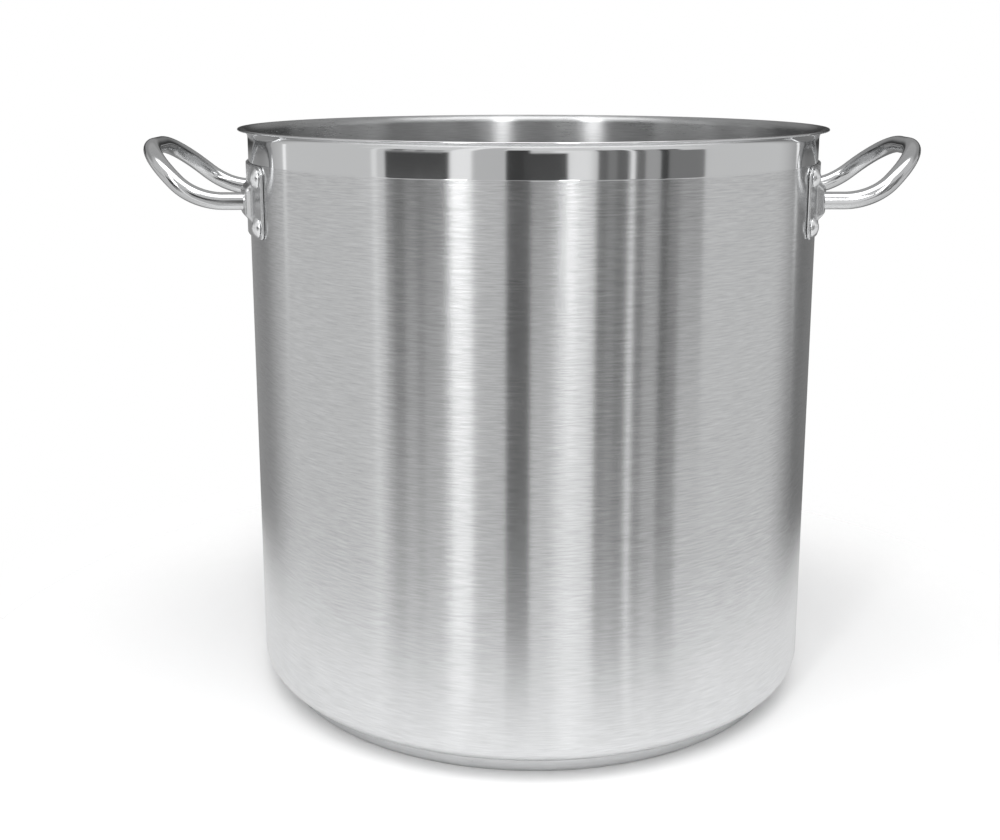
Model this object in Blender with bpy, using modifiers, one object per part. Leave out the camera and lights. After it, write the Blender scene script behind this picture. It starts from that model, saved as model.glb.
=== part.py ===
"""Brew kettle: a plain 50 litre stainless stock pot, 400 mm across and 400 mm high.

One object for each physical piece. Metres, +Z up. The origin is the centre of the underside,
and the two fixed handles lie on the +X and -X sides.
"""

from math import cos, hypot, pi, radians, sin

import bmesh
import bpy
from mathutils import Matrix, Vector

# Kettle body
BODY_RADIUS = 0.200
BODY_HEIGHT = 0.400
WALL = 0.0013
FLARE = 0.0068
FLARE_RADIUS = 0.0060
CORNER_RADIUS = 0.012
GAP = 0.0003

# Clad base: an aluminium disc inside a steel cap, under the floor of the body
BASE_HEIGHT = 0.0108
BASE_RADIUS = 0.1856
CAP_WALL = 0.0010
CAP_ROUND = 0.0030

# Handle tube: a loop that leaves the kettle level and then sweeps upwards
TUBE_RADIUS = 0.0060
TUBE_WALL = 0.0015
HANDLE_HEIGHT = 0.3520
LIMB_SPACING = 0.112
LEVEL_RUN = 0.011
SWEEP_RADIUS = 0.048
SWEEP_ANGLE = radians(42.5)
LOOP_REACH = 0.0785
LOOP_CORNER = 0.046

# Handle bracket: a thin curved plate with a raised boss at each end of the tube
BRACKET_ANGLE = radians(27.2)
BRACKET_THICK = 0.0016
BRACKET_TOP = 0.3775
BRACKET_BOTTOM = 0.3290
BRACKET_CORNER = 0.006
BOSS_HEIGHT = 0.0042
BOSS_WIDTH = 0.032
BOSS_TALL = 0.028
BOSS_CROWN_WIDTH = 0.027
BOSS_CROWN_TALL = 0.0145
BOSS_EDGE = 0.0012
SOCKET_DEPTH = 0.0022

# Rivets: two at each end of a bracket
RIVET_ANGLE = radians(24.6)
RIVET_SPACING = 0.0325
RIVET_HEAD_RADIUS = 0.0067
RIVET_HEAD_HEIGHT = 0.0040
RIVET_SHANK_RADIUS = 0.0026
RIVET_TAIL_RADIUS = 0.0045
RIVET_TAIL_HEIGHT = 0.0012

# Facets
ROUND_STEPS = 80
RIVET_STEPS = 16
ARC_STEPS = 5
MERGE = 0.00001

SIDES = (("right", 0.0), ("left", pi))
RIVET_MIDDLE = 0.5 * (BRACKET_TOP + BRACKET_BOTTOM)


def clear_scene():
    for obj in list(bpy.data.objects):
        bpy.data.objects.remove(obj, do_unlink=True)


def new_collection(name):
    collection = bpy.data.collections.new(name)
    bpy.context.scene.collection.children.link(collection)
    return collection


def new_material(name, colour, roughness, metallic=1.0):
    material = bpy.data.materials.new(name)
    material.use_nodes = True
    shader = material.node_tree.nodes["Principled BSDF"]
    shader.inputs["Base Color"].default_value = (*colour, 1.0)
    shader.inputs["Roughness"].default_value = roughness
    shader.inputs["Metallic"].default_value = metallic
    return material


def add_object(name, mesh, collection, material=None):
    obj = bpy.data.objects.new(name, mesh)
    collection.objects.link(obj)
    if material:
        mesh.materials.append(material)
        mesh.shade_smooth()
        mesh.set_sharp_from_angle(angle=radians(35))
    return obj


def mesh_from_bmesh(name, shape):
    bmesh.ops.recalc_face_normals(shape, faces=shape.faces)
    mesh = bpy.data.meshes.new(name)
    shape.to_mesh(mesh)
    shape.free()
    return mesh


def arc(centre_x, centre_z, radius, start, end, steps=ARC_STEPS):
    """Points (x, z) on an arc; the angles are in degrees from +X towards +Z."""
    points = []
    for i in range(steps + 1):
        angle = radians(start + (end - start) * i / steps)
        points.append((centre_x + radius * cos(angle), centre_z + radius * sin(angle)))
    return points


def turned(name, profile, collection, material, steps=ROUND_STEPS):
    """A solid of revolution about Z, from points (radius, z) that run down its outer side."""
    mesh = bpy.data.meshes.new(name)
    points = [(x, 0.0, z) for x, z in profile]
    mesh.from_pydata(points, [(i, i + 1) for i in range(len(points) - 1)], [])
    obj = add_object(name, mesh, collection)
    screw = obj.modifiers.new("Turn", "SCREW")
    screw.steps = steps
    screw.render_steps = steps
    screw.use_merge_vertices = True
    screw.merge_threshold = MERGE
    baked = bpy.data.meshes.new_from_object(obj.evaluated_get(bpy.context.evaluated_depsgraph_get()))
    obj.modifiers.clear()
    obj.data = baked
    baked.name = name
    bpy.data.meshes.remove(mesh)
    if material:
        baked.materials.append(material)
        baked.shade_smooth()
        baked.set_sharp_from_angle(angle=radians(35))
    return obj


def cylinder_between(name, start, end, radius, collection, segments=RIVET_STEPS):
    """A closed cylinder whose axis runs from start to end."""
    axis = Vector(end) - Vector(start)
    shape = bmesh.new()
    bmesh.ops.create_cone(
        shape, cap_ends=True, segments=segments, radius1=radius, radius2=radius, depth=axis.length
    )
    turn = Vector((0, 0, 1)).rotation_difference(axis).to_matrix().to_4x4()
    place = Matrix.Translation((Vector(start) + Vector(end)) / 2) @ turn
    bmesh.ops.transform(shape, matrix=place, verts=shape.verts)
    return add_object(name, mesh_from_bmesh(name, shape), collection)


def as_cutter(obj):
    obj.hide_render = True
    obj.display_type = "WIRE"
    return obj


def boolean(obj, other, operation):
    modifier = obj.modifiers.new(f"{operation.title()} {other.name}", "BOOLEAN")
    modifier.operation = operation
    modifier.object = other
    modifier.solver = "EXACT"


def around(side_turn, azimuth, radius, z):
    """A point on the kettle's side, its azimuth measured from the middle of one handle."""
    return Vector((radius * cos(side_turn + azimuth), radius * sin(side_turn + azimuth), z))


def rivet_places(side_turn):
    """(name ending, outward direction, height) of the four rivets of one bracket."""
    places = []
    for end_name, azimuth in (("front", -RIVET_ANGLE), ("rear", RIVET_ANGLE)):
        if side_turn > 0:
            azimuth = -azimuth
        for level_name, offset in (("upper", 0.5), ("lower", -0.5)):
            direction = around(side_turn, azimuth, 1.0, 0.0)
            places.append((f"{end_name}_{level_name}", direction, RIVET_MIDDLE + offset * RIVET_SPACING))
    return places


def make_body(parts, cutters, steel):
    """Deep-drawn body: floor, rounded corner, wall and the flared rim, one sheet throughout."""
    floor = BASE_HEIGHT + GAP
    corner_z = floor + CORNER_RADIUS
    lip_z = BODY_HEIGHT - FLARE_RADIUS
    inner_radius = BODY_RADIUS - WALL
    profile = [(0.0, floor + WALL)]
    profile += arc(BODY_RADIUS - CORNER_RADIUS, corner_z, CORNER_RADIUS - WALL, -90, 0)
    profile += [(inner_radius, 0.14), (inner_radius, 0.27)]
    lip_centre = BODY_RADIUS + FLARE_RADIUS - WALL
    profile += arc(lip_centre, lip_z, FLARE_RADIUS, 180, 90)
    profile.append((BODY_RADIUS + FLARE, BODY_HEIGHT))
    profile.append((BODY_RADIUS + FLARE, BODY_HEIGHT - WALL))
    profile += arc(lip_centre, lip_z, FLARE_RADIUS - WALL, 90, 180)
    profile += [(BODY_RADIUS, 0.27), (BODY_RADIUS, 0.14)]
    profile += arc(BODY_RADIUS - CORNER_RADIUS, corner_z, CORNER_RADIUS, 0, -90)
    profile.append((0.0, floor))
    body = turned("pot_body", profile, parts, steel)
    for side_name, side_turn in SIDES:
        for place_name, direction, z in rivet_places(side_turn):
            middle = Vector((0, 0, z))
            cutter = cylinder_between(
                f"hole_{side_name}_{place_name}",
                middle + direction * (BODY_RADIUS - 0.010),
                middle + direction * (BODY_RADIUS + 0.010),
                RIVET_SHANK_RADIUS + GAP,
                cutters,
            )
            boolean(body, as_cutter(cutter), "DIFFERENCE")
    return body


def make_base(parts, aluminium, steel):
    """Aluminium disc that spreads the heat, and the steel cap pressed over it."""
    core_radius = BASE_RADIUS - CAP_WALL - GAP
    core_bottom = CAP_WALL + GAP
    core_top = BASE_HEIGHT - GAP
    core_round = CAP_ROUND - CAP_WALL
    core = [(0.0, core_top), (core_radius, core_top)]
    core += arc(core_radius - core_round, core_bottom + core_round, core_round, 0, -90, 3)
    core.append((0.0, core_bottom))
    turned("base_heat_disc", core, parts, aluminium)

    inner_radius = BASE_RADIUS - CAP_WALL
    cap = [(0.0, CAP_WALL)]
    cap += arc(inner_radius - core_round, CAP_WALL + core_round, core_round, -90, 0, 3)
    cap += [(inner_radius, BASE_HEIGHT), (BASE_RADIUS, BASE_HEIGHT)]
    cap += arc(BASE_RADIUS - CAP_ROUND, CAP_ROUND, CAP_ROUND, 0, -90, 3)
    cap.append((0.0, 0.0))
    turned("base_cap", cap, parts, steel)


def sheet_outline():
    """Centre line of half a loop, unrolled: (distance along the sweep, sideways) from the kettle out."""
    half = LIMB_SPACING / 2
    points = [(LOOP_REACH - LOOP_CORNER) * i / 7 for i in range(7)]
    outline = [(along, half) for along in points]
    for i in range(9):
        angle = 0.5 * pi * i / 8
        along = LOOP_REACH - LOOP_CORNER + LOOP_CORNER * sin(angle)
        outline.append((along, half - LOOP_CORNER + LOOP_CORNER * cos(angle)))
    outline.append((LOOP_REACH + 0.0004, 0.4 * (half - LOOP_CORNER)))
    return outline


def swept(along):
    """(outwards, upwards) after a distance along the loop: level, then a bend, then straight."""
    bend_length = SWEEP_RADIUS * SWEEP_ANGLE
    if along <= LEVEL_RUN:
        return along, 0.0
    bent = min((along - LEVEL_RUN) / SWEEP_RADIUS, SWEEP_ANGLE)
    rest = max(along - LEVEL_RUN - bend_length, 0.0)
    out = LEVEL_RUN + SWEEP_RADIUS * sin(bent) + rest * cos(SWEEP_ANGLE)
    up = SWEEP_RADIUS * (1 - cos(bent)) + rest * sin(SWEEP_ANGLE)
    return out, up


def socket_floor():
    """X of the flat that a tube end stops at, inside the boss."""
    crown = BODY_RADIUS + GAP + BRACKET_THICK + BOSS_HEIGHT
    half = LIMB_SPACING / 2
    return crown * cos(half / crown) - SOCKET_DEPTH


def loop_points():
    """Centre line of the whole tube, from its front end round to its rear end, on the +X side."""
    half = []
    for along, sideways in sheet_outline():
        out, up = swept(along)
        half.append(Vector((BODY_RADIUS + out, -sideways, HANDLE_HEIGHT + up)))
    start = Vector((socket_floor() + GAP, -LIMB_SPACING / 2, HANDLE_HEIGHT))
    front = [start] + [point for point in half if point.x > start.x + 0.002]
    rear = [Vector((point.x, -point.y, point.z)) for point in reversed(front)]
    return front + rear


def make_tube(side_name, side_turn, parts, steel):
    """Hollow handle tube: a round curve without caps, thickened inwards, so its ends stay open."""
    points = loop_points()
    curve = bpy.data.curves.new(f"tube_{side_name}", "CURVE")
    curve.dimensions = "3D"
    curve.bevel_depth = TUBE_RADIUS
    curve.bevel_resolution = 2
    spline = curve.splines.new("POLY")
    spline.points.add(len(points) - 1)
    for spline_point, place in zip(spline.points, points):
        spline_point.co = (*place, 1.0)
    guide = bpy.data.objects.new(f"tube_{side_name}", curve)
    parts.objects.link(guide)
    mesh = bpy.data.meshes.new_from_object(guide.evaluated_get(bpy.context.evaluated_depsgraph_get()))
    bpy.data.objects.remove(guide)
    mesh.transform(Matrix.Rotation(side_turn, 4, "Z"))
    mesh.materials.clear()
    shape = bmesh.new()
    shape.from_mesh(mesh)
    bmesh.ops.remove_doubles(shape, verts=shape.verts, dist=MERGE)
    bpy.data.meshes.remove(mesh)
    name = f"handle_{side_name}_tube"
    tube = add_object(name, mesh_from_bmesh(name, shape), parts, steel)
    wall = tube.modifiers.new("Wall", "SOLIDIFY")
    wall.thickness = TUBE_WALL
    wall.offset = -1.0
    wall.use_rim = True
    wall.use_even_offset = True
    return tube


def curved_plate(name, side_turn, collection, material):
    """Bracket plate: its section spun about the kettle's axis."""
    inner = BODY_RADIUS + GAP
    outer = inner + BRACKET_THICK
    steps = 20
    shape = bmesh.new()
    corners = (
        around(side_turn, -BRACKET_ANGLE, inner, BRACKET_BOTTOM),
        around(side_turn, -BRACKET_ANGLE, outer, BRACKET_BOTTOM),
        around(side_turn, -BRACKET_ANGLE, outer, BRACKET_TOP),
        around(side_turn, -BRACKET_ANGLE, inner, BRACKET_TOP),
    )
    face = shape.faces.new([shape.verts.new(corner) for corner in corners])
    bmesh.ops.spin(
        shape,
        geom=[face, *face.edges, *face.verts],
        cent=(0, 0, 0),
        axis=(0, 0, 1),
        angle=2 * BRACKET_ANGLE,
        steps=steps,
        use_duplicate=False,
    )
    return add_object(name, mesh_from_bmesh(name, shape), collection, material)


def corner_mask(side_name, side_turn, cutters):
    """Rounded outline of the bracket, extruded outwards through it."""
    half_width = (BODY_RADIUS + GAP) * sin(BRACKET_ANGLE)
    depth = 0.060
    height = BRACKET_TOP - BRACKET_BOTTOM
    shape = bmesh.new()
    bmesh.ops.create_cube(shape, size=1.0)
    bmesh.ops.scale(shape, vec=(depth, 2 * half_width, height), verts=shape.verts)
    across = [e for e in shape.edges if abs((e.verts[0].co - e.verts[1].co).x) > depth / 2]
    bmesh.ops.bevel(shape, geom=across, offset=BRACKET_CORNER, segments=4, profile=0.5, affect="EDGES")
    place = Matrix.Rotation(side_turn, 4, "Z") @ Matrix.Translation((BODY_RADIUS - 0.01, 0, RIVET_MIDDLE))
    bmesh.ops.transform(shape, matrix=place, verts=shape.verts)
    name = f"mask_{side_name}"
    return as_cutter(add_object(name, mesh_from_bmesh(name, shape), cutters))


def make_boss(name, side_turn, azimuth, cutters):
    """Raised pad with sloping flanks, pressed out of the plate where a tube end is welded."""
    sunk = 0.0008
    foot = BODY_RADIUS + GAP + BRACKET_THICK - sunk
    height = BOSS_HEIGHT + sunk
    shape = bmesh.new()
    bmesh.ops.create_cube(shape, size=1.0)
    bmesh.ops.scale(shape, vec=(height, BOSS_WIDTH, BOSS_TALL), verts=shape.verts)
    crown = [v for v in shape.verts if v.co.x > 0]
    crown_scale = (1.0, BOSS_CROWN_WIDTH / BOSS_WIDTH, BOSS_CROWN_TALL / BOSS_TALL)
    bmesh.ops.scale(shape, vec=crown_scale, verts=crown)
    upper = [e for e in shape.edges if max(v.co.x for v in e.verts) > 0]
    bmesh.ops.bevel(shape, geom=upper, offset=BOSS_EDGE, segments=2, profile=0.5, affect="EDGES")
    place = Matrix.Rotation(side_turn + azimuth, 4, "Z")
    place = place @ Matrix.Translation((foot + height / 2, 0, HANDLE_HEIGHT))
    bmesh.ops.transform(shape, matrix=place, verts=shape.verts)
    return as_cutter(add_object(name, mesh_from_bmesh(name, shape), cutters))


def make_bracket(side_name, side_turn, parts, cutters, steel):
    bracket = curved_plate(f"handle_{side_name}_bracket", side_turn, parts, steel)
    boolean(bracket, corner_mask(side_name, side_turn, cutters), "INTERSECT")
    half = LIMB_SPACING / 2
    turn = Matrix.Rotation(side_turn, 3, "Z")
    for end_name, sideways in (("front", -half), ("rear", half)):
        azimuth = sideways / BODY_RADIUS
        boss = make_boss(f"boss_{side_name}_{end_name}", side_turn, azimuth, cutters)
        boolean(bracket, boss, "UNION")
        socket = cylinder_between(
            f"socket_{side_name}_{end_name}",
            turn @ Vector((socket_floor(), sideways, HANDLE_HEIGHT)),
            turn @ Vector((socket_floor() + 0.02, sideways, HANDLE_HEIGHT)),
            TUBE_RADIUS + GAP,
            cutters,
        )
        boolean(bracket, as_cutter(socket), "DIFFERENCE")
    for place_name, direction, z in rivet_places(side_turn):
        middle = Vector((0, 0, z))
        hole = cylinder_between(
            f"bracket_hole_{side_name}_{place_name}",
            middle + direction * (BODY_RADIUS - 0.004),
            middle + direction * (BODY_RADIUS + 0.008),
            RIVET_SHANK_RADIUS + GAP,
            cutters,
        )
        boolean(bracket, as_cutter(hole), "DIFFERENCE")


def rivet_profile():
    """Half section of a rivet along +Z: domed head outside, shank, and flat closed head inside."""
    seat = GAP + BRACKET_THICK + GAP
    inside = -WALL - GAP
    sphere_radius = (RIVET_HEAD_RADIUS**2 + RIVET_HEAD_HEIGHT**2) / (2 * RIVET_HEAD_HEIGHT)
    centre = seat + RIVET_HEAD_HEIGHT - sphere_radius
    profile = [(0.0, seat + RIVET_HEAD_HEIGHT)]
    for i in range(1, 6):
        radius = RIVET_HEAD_RADIUS * sin(0.5 * pi * i / 5)
        profile.append((radius, centre + (sphere_radius**2 - radius**2) ** 0.5))
    profile.append((RIVET_SHANK_RADIUS, seat))
    profile.append((RIVET_SHANK_RADIUS, inside))
    profile.append((RIVET_TAIL_RADIUS, inside))
    profile.append((RIVET_TAIL_RADIUS - 0.0008, inside - RIVET_TAIL_HEIGHT))
    profile.append((0.0, inside - RIVET_TAIL_HEIGHT))
    return profile


def make_rivets(side_name, side_turn, parts, steel):
    for place_name, direction, z in rivet_places(side_turn):
        rivet = turned(f"rivet_{side_name}_{place_name}", rivet_profile(), parts, steel, RIVET_STEPS)
        rivet.location = direction * BODY_RADIUS + Vector((0, 0, z))
        rivet.rotation_euler = direction.to_track_quat("Z", "Y").to_euler()


def main():
    clear_scene()
    parts = new_collection("brew_kettle")
    cutters = new_collection("cutters")
    brushed = new_material("brushed_steel", (0.62, 0.62, 0.63), 0.32)
    polished = new_material("polished_steel", (0.72, 0.72, 0.73), 0.12)
    aluminium = new_material("aluminium", (0.78, 0.79, 0.80), 0.40)
    make_body(parts, cutters, brushed)
    make_base(parts, aluminium, brushed)
    for side_name, side_turn in SIDES:
        make_tube(side_name, side_turn, parts, polished)
        make_bracket(side_name, side_turn, parts, cutters, polished)
        make_rivets(side_name, side_turn, parts, polished)


main()
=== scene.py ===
"""Looks of the brew kettle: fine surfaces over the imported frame, steel materials, studio, camera."""

from math import cos, pi, radians, sin, sqrt

import bmesh
import bpy
from mathutils import Matrix, Vector


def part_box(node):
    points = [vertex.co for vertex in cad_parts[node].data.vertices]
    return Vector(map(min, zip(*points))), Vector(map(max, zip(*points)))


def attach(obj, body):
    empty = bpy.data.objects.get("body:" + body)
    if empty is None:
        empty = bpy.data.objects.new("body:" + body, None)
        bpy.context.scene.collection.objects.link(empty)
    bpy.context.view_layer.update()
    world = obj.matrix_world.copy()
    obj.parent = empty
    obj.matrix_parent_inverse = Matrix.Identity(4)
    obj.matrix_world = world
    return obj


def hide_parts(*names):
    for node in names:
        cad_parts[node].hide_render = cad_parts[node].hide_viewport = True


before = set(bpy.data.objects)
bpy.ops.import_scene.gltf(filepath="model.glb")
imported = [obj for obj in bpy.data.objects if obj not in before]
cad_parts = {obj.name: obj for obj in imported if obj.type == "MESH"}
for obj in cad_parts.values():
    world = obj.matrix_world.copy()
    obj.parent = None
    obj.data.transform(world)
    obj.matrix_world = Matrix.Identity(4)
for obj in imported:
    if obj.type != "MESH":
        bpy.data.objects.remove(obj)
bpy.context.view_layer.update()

# ---------------------------------------------------------------- sizes read from the frame

BODY_LOW, BODY_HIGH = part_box("pot_body")
CAP_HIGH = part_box("base_cap")[1]
TUBE_LOW, TUBE_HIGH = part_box("handle_right_tube")
BRACKET_LOW, BRACKET_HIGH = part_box("handle_right_bracket")
RIVET_LOW, RIVET_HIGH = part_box("rivet_right_front_upper")
RIVET_LOWER_LOW, RIVET_LOWER_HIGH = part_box("rivet_right_front_lower")

# Body. The flare, wall and roundings repeat the CAD's own sizes, which a box doesn't give
WALL = 0.0013
FLARE = 0.0068
FLARE_RADIUS = 0.0060
CORNER_RADIUS = 0.012
BAND_HEIGHT = 0.0222
GAP = 0.0003
RIM_Z = BODY_HIGH[2]
FLOOR_Z = BODY_LOW[2]
BODY_RADIUS = BODY_HIGH[0] - FLARE
CORNER_Z = FLOOR_Z + CORNER_RADIUS
CORNER_CENTRE = BODY_RADIUS - CORNER_RADIUS
LIP_Z = RIM_Z - FLARE_RADIUS
LIP_CENTRE = BODY_RADIUS + FLARE_RADIUS - WALL
FLOOR_FLAT = 0.16
BODY_STEPS = 360

# Fine raised seam where the bright band meets the brushed wall
SEAM_Z = RIM_Z - BAND_HEIGHT
SEAM_HEIGHT = 0.00008
SEAM_HALF = 0.00026
SEAM_CREST = 0.3 * SEAM_HALF
SEAM_BESIDE = 1.8 * SEAM_HALF

# Base cap, with shallow rings turned in its underside
CAP_RADIUS = CAP_HIGH[0]
CAP_TOP = CAP_HIGH[2]
CAP_ROUND = 0.0030
CAP_WALL = 0.0010
CAP_BEVEL = 0.0002
CAP_STEPS = 300
RING_MARGIN = 0.010
RING_SPACING = 0.0116
RING_FLANK = 0.0010
RING_DEPTH = 0.00012

# Handle tube
TUBE_RADIUS = 0.0060
TUBE_WALL = 0.0015
SWEEP_ANGLE = radians(42.5)
SWEEP_RADIUS = 0.048
LEVEL_RUN = 0.011
LOOP_CORNER = 0.046
LIMB_HALF = TUBE_HIGH[1] - TUBE_RADIUS
HANDLE_Z = TUBE_LOW[2] + TUBE_RADIUS
TUBE_START = TUBE_LOW[0]
CROSS_X = TUBE_HIGH[0] - TUBE_RADIUS
TIP_INSET = 0.0004
START_MARGIN = 0.0015
LIMB_STEPS = 26
CORNER_STEPS = 24
TUBE_SECTIONS = 40

# Handle bracket and its two raised bosses
BRACKET_INNER = BODY_RADIUS + GAP
BRACKET_THICK = 0.0016
BRACKET_OUTER = BRACKET_INNER + BRACKET_THICK
BRACKET_ANGLE = radians(27.2)
BRACKET_CORNER = 0.006
BRACKET_EDGE = 0.0007
BRACKET_EDGE_SHARE = 0.45
BRACKET_MIDDLE = 0.5 * (BRACKET_LOW[2] + BRACKET_HIGH[2])
BRACKET_HALF_TALL = 0.5 * (BRACKET_HIGH[2] - BRACKET_LOW[2])
BRACKET_HALF_ARC = BRACKET_OUTER * BRACKET_ANGLE
BOSS_HEIGHT = 0.0042
BOSS_HALF_WIDE = 0.016
BOSS_HALF_TALL = 0.014
BOSS_SIDE_FLANK = 0.0030
BOSS_END_FLANK = 0.0068
# Along the plate's curve a boss lies a little further out than the tube's limb does across it
BOSS_MIDDLE = 1.004 * LIMB_HALF
GRID_SPACING = 0.0009
GRID_LEAST = 0.00008
EDGE_LINES = (0.0001, 0.0002, 0.0004, 0.0007)
CREASE_LINES = (-0.0008, -0.0004, 0.0, 0.0004, 0.0008)

# Rivets
RIVET_ANGLE = radians(24.6)
RIVET_UPPER_Z = 0.5 * (RIVET_LOW[2] + RIVET_HIGH[2])
RIVET_LOWER_Z = 0.5 * (RIVET_LOWER_LOW[2] + RIVET_LOWER_HIGH[2])
RIVET_HEAD_RADIUS = 0.0067
RIVET_HEAD_HEIGHT = 0.0040
RIVET_SHANK_RADIUS = 0.0026
RIVET_TAIL_RADIUS = 0.0045
RIVET_TAIL_HEIGHT = 0.0012
RIVET_EDGE = 0.0001
RIVET_STEPS = 48
DOME_STEPS = 14

SIDES = (("right", 0.0), ("left", pi))

# ---------------------------------------------------------------- camera and studio

CAMERA_TURN = radians(-1.9)
CAMERA_DISTANCE = 0.968
CAMERA_HEIGHT = 0.4436
CAMERA_PITCH = radians(11.74)
CAMERA_YAW = radians(-1.354)
CAMERA_LENS = 48.25
CAMERA_SHIFT = -0.0783

# Upright panels of the studio, each painted over those before it: (azimuth from the camera in
# degrees, half width and width of the soft edge in degrees, brightness, lowest and highest sine of
# elevation). The polished band mirrors sines above about -0.11, and the brushed wall those below.
SURROUND = 0.72
PANELS = (
    (0, 72, 4.0, 0.82, -2.0, -0.36),  # paler ground in front
    (-158, 36, 30, 0.32, -2.0, 2.0),  # dim room behind, on the left
    (-162, 34, 8, 0.05, -0.062, 0.50),
    (-112, 1.2, 1.0, 1.20, -0.11, 0.10),  # thin lights by the left bracket
    (-62, 1.2, 1.0, 0.95, -2.0, 2.0),
    (-44.2, 12.9, 1.0, 0.08, -0.11, 0.30),  # dark opening on the left, and its streaks
    (-45.3, 11.8, 1.5, 0.48, -0.35, -0.11),
    (-52, 2.5, 1.5, 0.22, -0.35, -0.11),
    (-43, 1.6, 1.0, 0.30, -0.35, -0.11),
    (-26.5, 4.0, 1.0, 1.10, -2.0, 0.10),  # left light, and its lamp above
    (-29, 3.8, 1.0, 7.0, 0.20, 0.75),
    (-16, 5.5, 1.0, 0.62, -2.0, 0.30),  # grey wall
    (-5.0, 4.6, 1.0, 0.06, -0.49, 0.30),  # dark middle
    (15.5, 7.0, 5.0, 1.00, -0.40, 0.10),  # right light
    (5.2, 8.0, 1.0, 0.08, -0.11, 0.30),  # the dark middle goes on in the band
    (14, 3.3, 1.0, 7.0, 0.20, 0.75),  # lamp above the right light
    (30.5, 6.0, 1.0, 0.16, -0.43, 0.30),  # dark and grey stands on the right, with one thin light
    (30.0, 1.8, 1.5, 0.26, -0.43, 0.30),
    (43, 6.5, 1.0, 0.44, -0.43, 0.30),
    (38.2, 0.9, 0.6, 1.05, -2.0, 0.10),
    (41.5, 1.8, 1.0, 0.19, -0.43, 0.30),
    (59, 9.5, 1.0, 0.24, -0.16, 0.30),  # dark opening on the right
    (54, 4.5, 2.5, 0.17, -0.38, -0.16),
    (51.5, 1.6, 0.8, 0.07, -0.38, 0.30),
    (158, 35, 30, 0.22, -2.0, 2.0),  # dim room behind, on the right
    (162, 34, 8, 0.05, -0.062, 0.50),
    (126, 1.2, 1.0, 1.20, -0.11, 0.10),  # thin light by the right bracket
)
PANEL_SOFT_BOTTOM = 0.006
PANEL_SOFT_TOP = 0.04

# Lamp overhead, in front of the kettle, and the wall behind it; heights are sines of elevation
OVERHEAD_FROM = 0.76
OVERHEAD_EDGE = 0.08
OVERHEAD_BRIGHTNESS = 3.1
OVERHEAD_BACK_EDGE = 0.12
BACK_FROM = -0.02
BACK_EDGE = 0.25
BACK_FOOT = (0.10, 0.35)
BACK_CHANGE = (0.45, 0.65)
BACK_LOW_BRIGHTNESS = 0.36
BACK_HIGH_BRIGHTNESS = 0.50

# Thin dark line at the height of the horizon, further than this from the camera in degrees
HORIZON_LEVEL = 0.35
HORIZON_HEIGHT = (0.012, 0.035)
HORIZON_SIDES = (66, 72)

BACKGROUND = 1.0
TABLE_RADIUS = 0.52
TABLE_SOLID_RADIUS = 0.26
TABLE_STEPS = 96
TABLE_GREY = 0.94

# ---------------------------------------------------------------- node helpers


class Nodes:
    """Short calls for the nodes of one tree."""

    def __init__(self, tree):
        self.tree = tree
        tree.nodes.clear()

    def add(self, kind, **settings):
        node = self.tree.nodes.new(kind)
        for key, value in settings.items():
            setattr(node, key, value)
        return node

    def link(self, source, target):
        """Links a socket to the target, or sets the target to a plain value."""
        if hasattr(source, "is_output"):
            self.tree.links.new(source, target)
        else:
            target.default_value = source

    def math(self, operation, first, second=0.0, third=None):
        node = self.add("ShaderNodeMath", operation=operation)
        self.link(first, node.inputs[0])
        self.link(second, node.inputs[1])
        if third is not None:
            self.link(third, node.inputs[2])
        return node.outputs[0]

    def smooth(self, value, start, end, low=0.0, high=1.0):
        node = self.add("ShaderNodeMapRange", interpolation_type="SMOOTHSTEP")
        for socket, number in zip(node.inputs[1:5], (start, end, low, high)):
            self.link(number, socket)
        self.link(value, node.inputs[0])
        return node.outputs[0]

    def mix(self, factor, first, second):
        node = self.add("ShaderNodeMix", data_type="FLOAT")
        self.link(factor, node.inputs[0])
        self.link(first, node.inputs[2])
        self.link(second, node.inputs[3])
        return node.outputs[0]

    def noise(self, vector, detail, roughness=0.5):
        node = self.add("ShaderNodeTexNoise")
        node.inputs["Scale"].default_value = 1.0
        node.inputs["Detail"].default_value = detail
        node.inputs["Roughness"].default_value = roughness
        self.link(vector, node.inputs["Vector"])
        return node.outputs["Fac"]

    def stretched(self, scale):
        """Object coordinates, scaled by axis."""
        coordinates = self.add("ShaderNodeTexCoord")
        node = self.add("ShaderNodeVectorMath", operation="MULTIPLY")
        self.link(coordinates.outputs["Object"], node.inputs[0])
        node.inputs[1].default_value = scale
        return node.outputs[0]

    def vary(self, base, texture, amount):
        """The base value, moved by how far the texture is from its middle of 0.5."""
        return self.math("MULTIPLY_ADD", self.math("SUBTRACT", texture, 0.5), amount, base)

    def bump(self, height, distance):
        node = self.add("ShaderNodeBump")
        node.inputs["Strength"].default_value = 1.0
        node.inputs["Distance"].default_value = distance
        self.link(height, node.inputs["Height"])
        return node

    def grey(self, value, tint=(1.0, 1.0, 1.0)):
        node = self.add("ShaderNodeCombineColor")
        for socket, share in zip(node.inputs[:3], tint):
            self.link(self.math("MULTIPLY", value, share), socket)
        return node.outputs[0]


# ---------------------------------------------------------------- steel materials

STEEL_TINT = (0.992, 1.0, 1.008)
QUARTER_TURN = 0.25
BROAD_SCALE = (9.0, 9.0, 13.0)
CLOUD_SCALE = (34.0, 34.0, 60.0)
RIPPLE_SCALE = (16.0, 16.0, 9.0)
# A brush that ran around the kettle leaves a grain long around it and fine up and down
AROUND = (75.0, 75.0, 1150.0)


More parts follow.
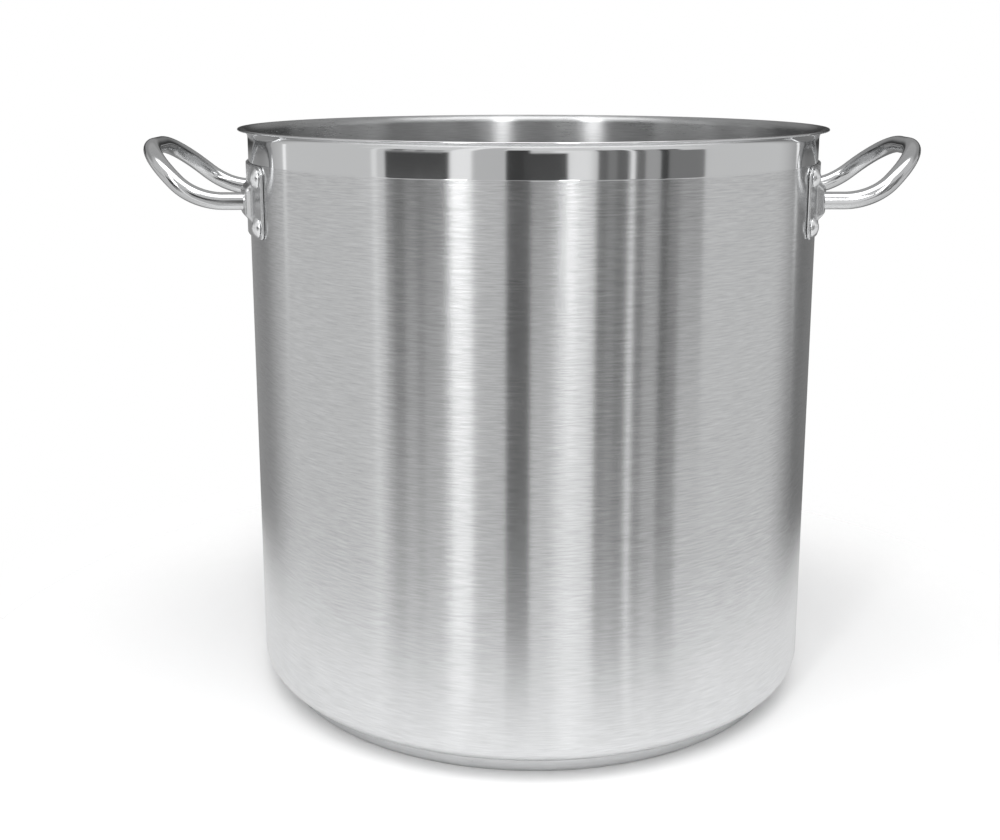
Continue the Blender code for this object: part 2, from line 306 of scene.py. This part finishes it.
def blotches(nodes):
    """Cloudiness of a handled sheet: broad patches with smaller ones in them."""
    broad = nodes.noise(nodes.stretched(BROAD_SCALE), 3.0, 0.55)
    cloud = nodes.noise(nodes.stretched(CLOUD_SCALE), 4.0, 0.6)
    return nodes.math("ADD", nodes.math("MULTIPLY", broad, 0.6), nodes.math("MULTIPLY", cloud, 0.4))


def steel(
    name,
    grey,
    roughness,
    grain,
    grain_depth,
    mottle,
    roughness_spread,
    anisotropy=0.0,
    waviness=0.0,
):
    """Metal with a fine grain that runs along the axes where the grain's scale is small."""
    material = bpy.data.materials.new(name)
    material.use_nodes = True
    nodes = Nodes(material.node_tree)
    output = nodes.add("ShaderNodeOutputMaterial")
    shader = nodes.add("ShaderNodeBsdfPrincipled")
    nodes.link(shader.outputs[0], output.inputs[0])
    shader.inputs["Metallic"].default_value = 1.0
    shader.inputs["Anisotropic"].default_value = anisotropy
    shader.inputs["Anisotropic Rotation"].default_value = QUARTER_TURN
    fine = nodes.noise(nodes.stretched(grain), 3.0, 0.62)
    blend = blotches(nodes)
    shade = nodes.vary(grey, blend, 2 * mottle)
    shade = nodes.vary(shade, fine, 12 * mottle)
    nodes.link(nodes.grey(shade, STEEL_TINT), shader.inputs["Base Color"])
    rough = nodes.vary(roughness, blend, 2 * roughness_spread)
    rough = nodes.vary(rough, fine, roughness_spread)
    nodes.link(rough, shader.inputs["Roughness"])
    bump = nodes.bump(fine, grain_depth)
    if waviness:
        ripple = nodes.bump(nodes.noise(nodes.stretched(RIPPLE_SCALE), 1.0), waviness)
        nodes.link(ripple.outputs[0], bump.inputs["Normal"])
    nodes.link(bump.outputs[0], shader.inputs["Normal"])
    if anisotropy:
        tangent = nodes.add("ShaderNodeTangent", direction_type="RADIAL", axis="Z")
        nodes.link(tangent.outputs[0], shader.inputs["Tangent"])
    return material


def brushed_wall():
    return steel(
        "brushed_wall",
        grey=0.66,
        roughness=0.19,
        grain=AROUND,
        grain_depth=0.000010,
        mottle=0.028,
        roughness_spread=0.03,
        anisotropy=1.0,
    )


def polished_band():
    return steel(
        "polished_band",
        grey=0.68,
        roughness=0.07,
        grain=AROUND,
        grain_depth=0.0000006,
        mottle=0.0015,
        roughness_spread=0.02,
        waviness=0.00025,
    )


def brushed_inside():
    return steel(
        "brushed_inside",
        grey=0.50,
        roughness=0.28,
        grain=AROUND,
        grain_depth=0.00002,
        mottle=0.02,
        roughness_spread=0.03,
        anisotropy=1.0,
    )


def drawn_underside():
    return steel(
        "drawn_underside",
        grey=0.60,
        roughness=0.30,
        grain=AROUND,
        grain_depth=0.000006,
        mottle=0.01,
        roughness_spread=0.05,
        anisotropy=0.4,
    )


def spun_base():
    return steel(
        "spun_base",
        grey=0.60,
        roughness=0.30,
        grain=(60.0, 60.0, 900.0),
        grain_depth=0.000008,
        mottle=0.015,
        roughness_spread=0.06,
        anisotropy=0.5,
    )


def polished_handle():
    return steel(
        "polished_handle",
        grey=0.62,
        roughness=0.11,
        grain=(120.0, 900.0, 900.0),
        grain_depth=0.000003,
        mottle=0.008,
        roughness_spread=0.03,
    )


def pressed_bracket():
    return steel(
        "pressed_bracket",
        grey=0.68,
        roughness=0.26,
        grain=(300.0, 300.0, 900.0),
        grain_depth=0.000004,
        mottle=0.008,
        roughness_spread=0.05,
    )


def rivet_head():
    return steel(
        "rivet_head",
        grey=0.90,
        roughness=0.22,
        grain=(900.0, 900.0, 900.0),
        grain_depth=0.000004,
        mottle=0.006,
        roughness_spread=0.05,
    )


def cast_aluminium():
    return steel(
        "cast_aluminium",
        grey=0.80,
        roughness=0.38,
        grain=(300.0, 300.0, 300.0),
        grain_depth=0.00001,
        mottle=0.01,
        roughness_spread=0.08,
    )


# ---------------------------------------------------------------- mesh helpers


def arc(centre_x, centre_z, radius, start, end, steps):
    points = []
    for i in range(steps + 1):
        angle = radians(start + (end - start) * i / steps)
        points.append((centre_x + radius * cos(angle), centre_z + radius * sin(angle)))
    return points


def straight(start, end, steps):
    """Points from start to end, without the two ends."""
    points = []
    for i in range(1, steps):
        share = i / steps
        points.append(tuple(a + (b - a) * share for a, b in zip(start, end)))
    return points


def skin(shape, first, second):
    """A strip of quads between two lines of points."""
    for k in range(len(first) - 1):
        shape.faces.new((first[k], first[k + 1], second[k + 1], second[k]))


def skin_round(shape, first, second):
    """A strip of quads between two rings."""
    skin(shape, [*first, first[0]], [*second, second[0]])


def add_mesh(name, shape, materials, smooth_angle=35):
    mesh = bpy.data.meshes.new(name)
    shape.to_mesh(mesh)
    shape.free()
    for material in materials:
        mesh.materials.append(material)
    mesh.shade_smooth()
    mesh.set_sharp_from_angle(angle=radians(smooth_angle))
    obj = bpy.data.objects.new(name, mesh)
    bpy.context.scene.collection.objects.link(obj)
    return obj


def lathe(name, profile, steps, materials, smooth_angle, slots=()):
    """Closed solid of revolution from (radius, z) points, the first and last on the axis.

    Slots gives the material of the faces that start at each point."""
    shape = bmesh.new()
    rings = []
    for radius, z in profile:
        if radius < 1e-7:
            rings.append([shape.verts.new((0.0, 0.0, z))])
            continue
        ring = []
        for i in range(steps):
            angle = 2 * pi * i / steps
            ring.append(shape.verts.new((radius * cos(angle), radius * sin(angle), z)))
        rings.append(ring)
    for k in range(len(rings) - 1):
        first, second = rings[k], rings[k + 1]
        for i in range(steps):
            j = (i + 1) % steps
            corners = [first[i % len(first)], first[j % len(first)]]
            corners += [second[j % len(second)], second[i % len(second)]]
            # At the axis two of the four corners are one point
            face = shape.faces.new(list(dict.fromkeys(corners)))
            if slots:
                face.material_index = slots[k]
    bmesh.ops.recalc_face_normals(shape, faces=shape.faces)
    return add_mesh(name, shape, materials, smooth_angle)


def finish_piece(obj, node):
    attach(obj, "root")
    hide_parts(node)


# ---------------------------------------------------------------- kettle body and base


def inside_profile():
    """Floor, bottom corner, wall and flare of the inside, from the axis to the rim."""
    middle = (0.0, FLOOR_Z + WALL)
    floor_edge = (FLOOR_FLAT, FLOOR_Z + WALL)
    points = [middle, *straight(middle, floor_edge, 8), floor_edge]
    points += arc(CORNER_CENTRE, CORNER_Z, CORNER_RADIUS - WALL, -90, 0, 12)
    points += straight(points[-1], (BODY_RADIUS - WALL, LIP_Z), 24)
    points += arc(LIP_CENTRE, LIP_Z, FLARE_RADIUS, 180, 90, 12)
    return points


def band_profile():
    """Rounded edge of the rim, underside of the flare, bright band and the seam below it."""
    edge_round = WALL / 2
    points = arc(BODY_RADIUS + FLARE - edge_round, RIM_Z - edge_round, edge_round, 90, -90, 8)
    points += arc(LIP_CENTRE, LIP_Z, FLARE_RADIUS - WALL, 90, 180, 12)
    points += straight((BODY_RADIUS, LIP_Z), (BODY_RADIUS, SEAM_Z + SEAM_HALF), 8)
    points.append((BODY_RADIUS, SEAM_Z + SEAM_BESIDE))
    points.append((BODY_RADIUS, SEAM_Z + SEAM_HALF))
    points.append((BODY_RADIUS + SEAM_HEIGHT, SEAM_Z + SEAM_CREST))
    points.append((BODY_RADIUS + SEAM_HEIGHT, SEAM_Z - SEAM_CREST))
    return points


def wall_profile():
    """Brushed wall from the seam down, and the outside of the bottom corner."""
    points = [(BODY_RADIUS, SEAM_Z - SEAM_HALF), (BODY_RADIUS, SEAM_Z - SEAM_BESIDE)]
    points += straight(points[-1], (BODY_RADIUS, CORNER_Z), 30)
    points += arc(CORNER_CENTRE, CORNER_Z, CORNER_RADIUS, 0, -90, 14)
    return points


def make_body(brushed, polished, inside, under):
    """Body with its flared rim, each zone of the sheet with its own finish."""
    lining = inside_profile()
    band = band_profile()
    wall = wall_profile()
    profile = [*lining, *band, *wall, (0.0, FLOOR_Z)]
    slots = [2] * len(lining) + [1] * len(band) + [0] * (len(wall) - 2) + [3, 3]
    materials = (brushed, polished, inside, under)
    body = lathe("kettle_body", profile, BODY_STEPS, materials, 40, slots)
    finish_piece(body, "pot_body")


def turned_rings():
    """Shallow rings of the underside, from the outermost inwards."""
    points = []
    radius = CAP_RADIUS - CAP_ROUND - RING_MARGIN
    while radius > RING_SPACING / 2:
        points += [(radius, 0.0), (radius - RING_FLANK, RING_DEPTH)]
        points += [(radius - 2 * RING_FLANK, RING_DEPTH), (radius - 3 * RING_FLANK, 0.0)]
        radius -= RING_SPACING
    return points


def make_base_cap(material):
    """Steel cap of the clad base, with its rounded lower edge."""
    inner = CAP_RADIUS - CAP_WALL
    inner_round = CAP_ROUND - CAP_WALL
    profile = [(0.0, CAP_WALL)]
    profile += arc(inner - inner_round, CAP_WALL + inner_round, inner_round, -90, 0, 5)
    profile += [(inner, CAP_TOP - CAP_BEVEL), (inner + CAP_BEVEL, CAP_TOP)]
    profile += [(CAP_RADIUS - CAP_BEVEL, CAP_TOP), (CAP_RADIUS, CAP_TOP - CAP_BEVEL)]
    profile += arc(CAP_RADIUS - CAP_ROUND, CAP_ROUND, CAP_ROUND, 0, -90, 10)
    profile += [*turned_rings(), (0.0, 0.0)]
    cap = lathe("clad_base_cap", profile, CAP_STEPS, (material,), 30)
    finish_piece(cap, "base_cap")


def finish_heat_disc(material):
    """The hidden disc keeps its CAD shape and gets a bare metal surface."""
    heat_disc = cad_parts["base_heat_disc"]
    heat_disc.data.materials.clear()
    heat_disc.data.materials.append(material)


# ---------------------------------------------------------------- handle tubes


def swept(along):
    """(outwards, upwards) after a distance along the handle's sheet."""
    if along <= LEVEL_RUN:
        return along, 0.0
    bent = min((along - LEVEL_RUN) / SWEEP_RADIUS, SWEEP_ANGLE)
    rest = max(along - LEVEL_RUN - SWEEP_RADIUS * SWEEP_ANGLE, 0.0)
    out = LEVEL_RUN + SWEEP_RADIUS * sin(bent) + rest * cos(SWEEP_ANGLE)
    up = SWEEP_RADIUS * (1 - cos(bent)) + rest * sin(SWEEP_ANGLE)
    return out, up


def loop_reach():
    """Distance along the sheet to the middle of the cross piece, from where the frame has it."""
    bent_out = LEVEL_RUN + SWEEP_RADIUS * sin(SWEEP_ANGLE)
    rest = (CROSS_X - BODY_RADIUS - bent_out) / cos(SWEEP_ANGLE)
    return LEVEL_RUN + SWEEP_RADIUS * SWEEP_ANGLE + rest


def half_loop(reach):
    """Sheet points (along, sideways) of half the loop, from the kettle to the middle."""
    points = []
    run = reach - LOOP_CORNER
    straight_half = LIMB_HALF - LOOP_CORNER
    for i in range(LIMB_STEPS):
        points.append((run * i / LIMB_STEPS, LIMB_HALF))
    for i in range(CORNER_STEPS + 1):
        angle = 0.5 * pi * i / CORNER_STEPS
        points.append((run + LOOP_CORNER * sin(angle), straight_half + LOOP_CORNER * cos(angle)))
    for share in (0.75, 0.5, 0.25):
        points.append((reach, share * straight_half))
    return points


def loop_centre_line():
    """Centre line of the right handle's tube, from its front end to its rear end."""
    reach = loop_reach() - TIP_INSET
    half = []
    for along, sideways in half_loop(reach):
        out, up = swept(along)
        x = BODY_RADIUS + out
        if x > TUBE_START + START_MARGIN:
            half.append(Vector((x, -sideways, HANDLE_Z + up)))
    front = [Vector((TUBE_START, -LIMB_HALF, HANDLE_Z)), *half]
    middle_out, middle_up = swept(reach)
    middle = Vector((BODY_RADIUS + middle_out, 0.0, HANDLE_Z + middle_up))
    rear = [Vector((point.x, -point.y, point.z)) for point in reversed(front)]
    return [*front, middle, *rear]


def tube_ring(shape, centre, side, up, radius):
    ring = []
    for k in range(TUBE_SECTIONS):
        angle = 2 * pi * k / TUBE_SECTIONS
        ring.append(shape.verts.new(centre + radius * (side * cos(angle) + up * sin(angle))))
    return ring


def tube_rings(shape, points):
    """Rings of the outside and of the bore, square to the line through the points."""
    outer_rings = []
    inner_rings = []
    up = Vector((0, 0, 1))
    for i, point in enumerate(points):
        ahead = points[min(i + 1, len(points) - 1)]
        behind = points[max(i - 1, 0)]
        tangent = (ahead - behind).normalized()
        side = tangent.cross(up).normalized()
        up = side.cross(tangent).normalized()
        outer_rings.append(tube_ring(shape, point, side, up, TUBE_RADIUS))
        inner_rings.append(tube_ring(shape, point, side, up, TUBE_RADIUS - TUBE_WALL))
    return outer_rings, inner_rings


def make_tube(side_name, side_turn, material):
    """Hollow bent tube, lofted ring by ring along its centre line, open at both ends."""
    shape = bmesh.new()
    outer_rings, inner_rings = tube_rings(shape, loop_centre_line())
    for rings in (outer_rings, inner_rings):
        for first, second in zip(rings, rings[1:]):
            skin_round(shape, first, second)
    for end in (0, -1):
        skin_round(shape, inner_rings[end], outer_rings[end])
    bmesh.ops.recalc_face_normals(shape, faces=shape.faces)
    bmesh.ops.rotate(shape, matrix=Matrix.Rotation(side_turn, 3, "Z"), verts=shape.verts)
    tube = add_mesh(f"{side_name}_handle_tube", shape, (material,), 50)
    finish_piece(tube, f"handle_{side_name}_tube")


# ---------------------------------------------------------------- handle brackets


def flank(distance, width):
    """Pressed flank from 0 at the edge to 1 at width, with a soft foot and shoulder."""
    share = min(max(distance / width, 0.0), 1.0)
    return share * share * (3 - 2 * share)


def plate_relief(along, z):
    """Height of the plate's outer face over its flat level at a point (along the curve, height)."""
    relief = 0.0
    for centre in (-BOSS_MIDDLE, BOSS_MIDDLE):
        beside = BOSS_HALF_WIDE - abs(along - centre)
        above = BOSS_HALF_TALL - abs(z - HANDLE_Z)
        if beside > 0 and above > 0:
            relief = BOSS_HEIGHT * flank(beside, BOSS_SIDE_FLANK) * flank(above, BOSS_END_FLANK)
    return relief


def plate_thickness(along, z, inset):
    """Thickness at a point of the plate, less by its rounded edge and more on a boss."""
    fall = 1 - min(inset / BRACKET_EDGE, 1.0)
    rounded = sqrt(max(1 - fall * fall, 0.0))
    flat = BRACKET_THICK * (BRACKET_EDGE_SHARE + (1 - BRACKET_EDGE_SHARE) * rounded)
    return flat + plate_relief(along, z)


def corner_point(x, y, half_x, half_y, radius):
    """Moves a point of a rectangle's grid so that the outline gets round corners; also its inset."""
    over_x = abs(x) - (half_x - radius)
    over_y = abs(y) - (half_y - radius)
    inset = min(half_x - abs(x), half_y - abs(y))
    if over_x > 0 and over_y > 0:
        share_x, share_y = over_x / radius, over_y / radius
        new_x = over_x * sqrt(1 - share_y * share_y / 2)
        new_y = over_y * sqrt(1 - share_x * share_x / 2)
        inset = radius - sqrt(new_x * new_x + new_y * new_y)
        x = (half_x - radius + new_x) * (1 if x > 0 else -1)
        y = (half_y - radius + new_y) * (1 if y > 0 else -1)
    return x, y, max(inset, 0.0)


def grid_lines(half, creases):
    """Evenly spaced lines over -half to half, with more by the two edges and by each crease."""
    lines = set()
    count = int(2 * half / GRID_SPACING)
    for i in range(count + 1):
        lines.add(round(-half + 2 * half * i / count, 7))
    for inset in EDGE_LINES:
        lines.add(round(half - inset, 7))
        lines.add(round(inset - half, 7))
    for crease in creases:
        for offset in CREASE_LINES:
            lines.add(round(crease + offset, 7))
    kept = []
    for line in sorted(lines):
        if not kept or line - kept[-1] > GRID_LEAST:
            kept.append(line)
    kept[-1] = half
    return kept


def flank_lines(middles, half, width):
    """Where the flanks of raised areas with these middles begin and end."""
    lines = []
    for middle in middles:
        for side in (-1, 1):
            lines += [middle + side * half, middle + side * (half - width)]
    return lines


def plate_rows(shape, side_turn):
    """Points of the plate's front and back, one row for each line along the curve."""
    creases_across = flank_lines((-BOSS_MIDDLE, BOSS_MIDDLE), BOSS_HALF_WIDE, BOSS_SIDE_FLANK)
    creases_upright = flank_lines((HANDLE_Z - BRACKET_MIDDLE,), BOSS_HALF_TALL, BOSS_END_FLANK)
    upright = grid_lines(BRACKET_HALF_TALL, creases_upright)
    fronts = []
    backs = []
    for x in grid_lines(BRACKET_HALF_ARC, creases_across):
        front_row = []
        back_row = []
        for y in upright:
            along, z, inset = corner_point(x, y, BRACKET_HALF_ARC, BRACKET_HALF_TALL, BRACKET_CORNER)
            angle = side_turn + along / BRACKET_OUTER
            front = BRACKET_INNER + plate_thickness(along, z + BRACKET_MIDDLE, inset)
            for radius, row in ((front, front_row), (BRACKET_INNER, back_row)):
                place = (radius * cos(angle), radius * sin(angle), BRACKET_MIDDLE + z)
                row.append(shape.verts.new(place))
        fronts.append(front_row)
        backs.append(back_row)
    return fronts, backs


def make_bracket(side_name, side_turn, material):
    """Pressed plate curved to the wall, with rounded corners and edges and two raised bosses."""
    shape = bmesh.new()
    fronts, backs = plate_rows(shape, side_turn)
    for rows in (fronts, backs):
        for first, second in zip(rows, rows[1:]):
            skin(shape, first, second)
    for end in (0, -1):
        skin(shape, fronts[end], backs[end])
        skin(shape, [row[end] for row in fronts], [row[end] for row in backs])
    bmesh.ops.recalc_face_normals(shape, faces=shape.faces)
    bracket = add_mesh(f"{side_name}_handle_bracket", shape, (material,), 50)
    finish_piece(bracket, f"handle_{side_name}_bracket")


# ---------------------------------------------------------------- rivets


def rivet_profile():
    """Half section of a rivet along its axis: domed head outside, shank, and flat tail inside."""
    seat = GAP + BRACKET_THICK + RIVET_EDGE
    inside = -WALL
    tail = inside - RIVET_TAIL_HEIGHT
    sphere = (RIVET_HEAD_RADIUS**2 + RIVET_HEAD_HEIGHT**2) / (2 * RIVET_HEAD_HEIGHT)
    centre = seat + RIVET_HEAD_HEIGHT - sphere
    profile = [(0.0, seat + RIVET_HEAD_HEIGHT)]
    for i in range(1, DOME_STEPS + 1):
        radius = (RIVET_HEAD_RADIUS - 2 * RIVET_EDGE) * sin(0.5 * pi * i / DOME_STEPS)
        profile.append((radius, centre + sqrt(sphere**2 - radius**2)))
    profile.append((RIVET_HEAD_RADIUS, seat + 4 * RIVET_EDGE))
    profile.append((RIVET_HEAD_RADIUS, seat + RIVET_EDGE))
    profile.append((RIVET_HEAD_RADIUS - RIVET_EDGE, seat))
    profile.append((RIVET_SHANK_RADIUS, seat))
    profile.append((RIVET_SHANK_RADIUS, inside))
    profile.append((RIVET_TAIL_RADIUS - RIVET_EDGE, inside))
    profile.append((RIVET_TAIL_RADIUS, inside - 2 * RIVET_EDGE))
    profile.append((RIVET_TAIL_RADIUS - RIVET_EDGE, inside - 6 * RIVET_EDGE))
    profile.append((RIVET_TAIL_RADIUS - 9 * RIVET_EDGE, tail))
    profile.append((0.0, tail))
    return profile


def make_rivets(side_name, side_turn, material):
    """Four rivets of one bracket: at its front and rear end, one above the other."""
    profile = rivet_profile()
    for end_name, azimuth in (("front", -RIVET_ANGLE), ("rear", RIVET_ANGLE)):
        if side_turn > 0:
            azimuth = -azimuth
        direction = Vector((cos(side_turn + azimuth), sin(side_turn + azimuth), 0.0))
        turn = Vector((0, 0, 1)).rotation_difference(direction).to_matrix().to_4x4()
        for level_name, z in (("upper", RIVET_UPPER_Z), ("lower", RIVET_LOWER_Z)):
            name = f"{side_name}_rivet_{end_name}_{level_name}"
            rivet = lathe(name, profile, RIVET_STEPS, (material,), 40)
            place = Matrix.Translation(direction * BODY_RADIUS + Vector((0, 0, z)))
            rivet.data.transform(place @ turn)
            finish_piece(rivet, f"rivet_{side_name}_{end_name}_{level_name}")


# ---------------------------------------------------------------- studio


def add_panels(nodes, azimuth, z):
    """Brightness of the surround with its upright panels."""
    level = SURROUND
    for centre, half, edge, brightness, lowest, highest in PANELS:
        away = nodes.math("ABSOLUTE", nodes.math("SUBTRACT", azimuth, float(centre)))
        mask = nodes.smooth(away, half - edge / 2, half + edge / 2, 1.0, 0.0)
        if lowest > -1:
            above = nodes.smooth(z, lowest - PANEL_SOFT_BOTTOM, lowest + PANEL_SOFT_BOTTOM)
            mask = nodes.math("MULTIPLY", mask, above)
        if highest < 1:
            below = nodes.smooth(z, highest - PANEL_SOFT_TOP, highest + PANEL_SOFT_TOP, 1.0, 0.0)
            mask = nodes.math("MULTIPLY", mask, below)
        level = nodes.mix(mask, level, brightness)
    return level


def add_horizon(nodes, level, azimuth, z):
    line = nodes.smooth(nodes.math("ABSOLUTE", z), *HORIZON_HEIGHT, 1.0, 0.0)
    side = nodes.smooth(nodes.math("ABSOLUTE", azimuth), *HORIZON_SIDES)
    return nodes.mix(nodes.math("MULTIPLY", line, side), level, HORIZON_LEVEL)


def add_back(nodes, level, y, z):
    back = nodes.smooth(y, BACK_FROM, BACK_FROM + BACK_EDGE)
    above = nodes.smooth(z, *BACK_FOOT)
    back_level = nodes.smooth(z, *BACK_CHANGE, BACK_LOW_BRIGHTNESS, BACK_HIGH_BRIGHTNESS)
    return nodes.mix(nodes.math("MULTIPLY", back, above), level, back_level)


def add_overhead(nodes, level, y, z):
    overhead = nodes.smooth(z, OVERHEAD_FROM, OVERHEAD_FROM + OVERHEAD_EDGE)
    front = nodes.smooth(y, BACK_FROM, BACK_FROM + OVERHEAD_BACK_EDGE, 1.0, 0.0)
    return nodes.mix(nodes.math("MULTIPLY", overhead, front), level, OVERHEAD_BRIGHTNESS)


def make_world():
    """Soft studio all round: upright light and dark panels, a light overhead, and a dark back."""
    world = bpy.data.worlds.new("studio")
    bpy.context.scene.world = world
    world.use_nodes = True
    nodes = Nodes(world.node_tree)
    coordinates = nodes.add("ShaderNodeTexCoord")
    split = nodes.add("ShaderNodeSeparateXYZ")
    nodes.link(coordinates.outputs["Generated"], split.inputs[0])
    x, y, z = split.outputs
    angle = nodes.math("ARCTAN2", x, nodes.math("MULTIPLY", y, -1.0))
    azimuth = nodes.math("SUBTRACT", nodes.math("MULTIPLY", angle, 180 / pi), CAMERA_TURN * 180 / pi)
    level = add_panels(nodes, azimuth, z)
    level = add_horizon(nodes, level, azimuth, z)
    level = add_back(nodes, level, y, z)
    level = add_overhead(nodes, level, y, z)
    seen = nodes.add("ShaderNodeLightPath").outputs["Is Camera Ray"]
    level = nodes.mix(seen, level, BACKGROUND)
    background = nodes.add("ShaderNodeBackground")
    nodes.link(nodes.grey(level), background.inputs[0])
    output = nodes.add("ShaderNodeOutputWorld")
    nodes.link(background.outputs[0], output.inputs[0])


def pale_table():
    """Matt white that fades out away from the kettle, so that no edge of the table shows."""
    material = bpy.data.materials.new("pale_table")
    material.use_nodes = True
    nodes = Nodes(material.node_tree)
    output = nodes.add("ShaderNodeOutputMaterial")
    shader = nodes.add("ShaderNodeBsdfPrincipled")
    clear = nodes.add("ShaderNodeBsdfTransparent")
    fade = nodes.add("ShaderNodeMixShader")
    distance = nodes.add("ShaderNodeVectorMath", operation="LENGTH")
    nodes.link(nodes.stretched((1.0, 1.0, 1.0)), distance.inputs[0])
    nodes.link(nodes.smooth(distance.outputs["Value"], TABLE_SOLID_RADIUS, TABLE_RADIUS), fade.inputs[0])
    nodes.link(shader.outputs[0], fade.inputs[1])
    nodes.link(clear.outputs[0], fade.inputs[2])
    nodes.link(fade.outputs[0], output.inputs[0])
    shader.inputs["Roughness"].default_value = 0.9
    speck = nodes.noise(nodes.stretched((6.0, 6.0, 6.0)), 4.0)
    shade = nodes.math("MULTIPLY_ADD", speck, 0.01, TABLE_GREY)
    nodes.link(nodes.grey(shade), shader.inputs["Base Color"])
    return material


def make_table():
    """Plain pale surface under the kettle."""
    shape = bmesh.new()
    bmesh.ops.create_circle(shape, cap_ends=True, segments=TABLE_STEPS, radius=TABLE_RADIUS)
    table = add_mesh("table", shape, (pale_table(),))


def make_camera():
    data = bpy.data.cameras.new("camera")
    data.lens = CAMERA_LENS
    data.sensor_width = 36.0
    data.shift_y = CAMERA_SHIFT
    data.clip_end = 50.0
    camera = bpy.data.objects.new("camera", data)
    bpy.context.scene.collection.objects.link(camera)
    camera.location = (
        CAMERA_DISTANCE * sin(CAMERA_TURN),
        -CAMERA_DISTANCE * cos(CAMERA_TURN),
        CAMERA_HEIGHT,
    )
    camera.rotation_euler = (pi / 2 - CAMERA_PITCH, 0.0, CAMERA_TURN - CAMERA_YAW)
    bpy.context.scene.camera = camera
    bpy.context.scene.view_settings.view_transform = "Standard"


def main():
    make_camera()
    make_world()
    make_table()
    make_body(brushed_wall(), polished_band(), brushed_inside(), drawn_underside())
    make_base_cap(spun_base())
    handle_steel = polished_handle()
    bracket_steel = pressed_bracket()
    rivet_steel = rivet_head()
    finish_heat_disc(cast_aluminium())
    for side_name, side_turn in SIDES:
        make_tube(side_name, side_turn, handle_steel)
        make_bracket(side_name, side_turn, bracket_steel)
        make_rivets(side_name, side_turn, rivet_steel)


main()
